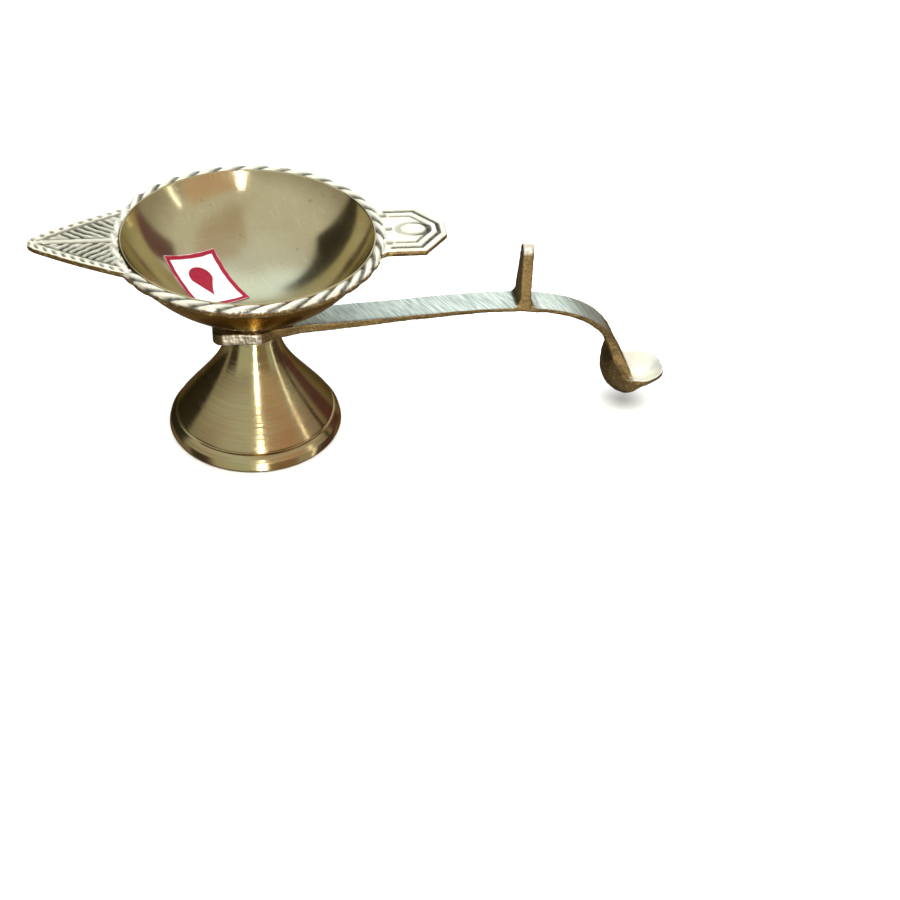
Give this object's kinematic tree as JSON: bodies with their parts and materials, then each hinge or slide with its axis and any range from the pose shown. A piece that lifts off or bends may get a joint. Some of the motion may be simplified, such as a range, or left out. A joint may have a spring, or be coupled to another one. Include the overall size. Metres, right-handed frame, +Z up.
{
  "type": "oil lamp",
  "caption": "Brass oil lamp (diya): round bowl with a roped rim, leaf-shaped wick spout and rear tab, on a turned foot, with a long strap handle that ends in a cupped leaf.",
  "frame": {"origin": "centre of the foot, on the surface the lamp stands on", "axes": "+Z up; +X along the handle, so the wick spout points to -X"},
  "size_m": [0.1476, 0.0604, 0.0523],
  "materials": {
    "turned_brass": "satin, fine turning lines",
    "cast_brass": "cast sides, filed top",
    "polished_brass": "polished inside, engraved and ground top",
    "clamp_brass": "plain machined",
    "printed_paper": "white paper with a red border"
  },
  "bodies": {
    "foot": {"pedestal": "turned_brass", "washer": "clamp_brass"},
    "handle": {"handle": "cast_brass"},
    "cup": {"cup": "polished_brass", "nut": "clamp_brass", "size_label": "printed_paper"}
  },
  "joints": [
    {"name": "handle_swivel", "type": "hinge", "parent": "foot", "child": "handle", "pos_m": [0, 0, 0.0275], "axis": [0, 0, 1], "continuous": true},
    {"name": "cup_swivel", "type": "hinge", "parent": "handle", "child": "cup", "pos_m": [0, 0, 0.029], "axis": [0, 0, 1], "continuous": true}
  ]
}
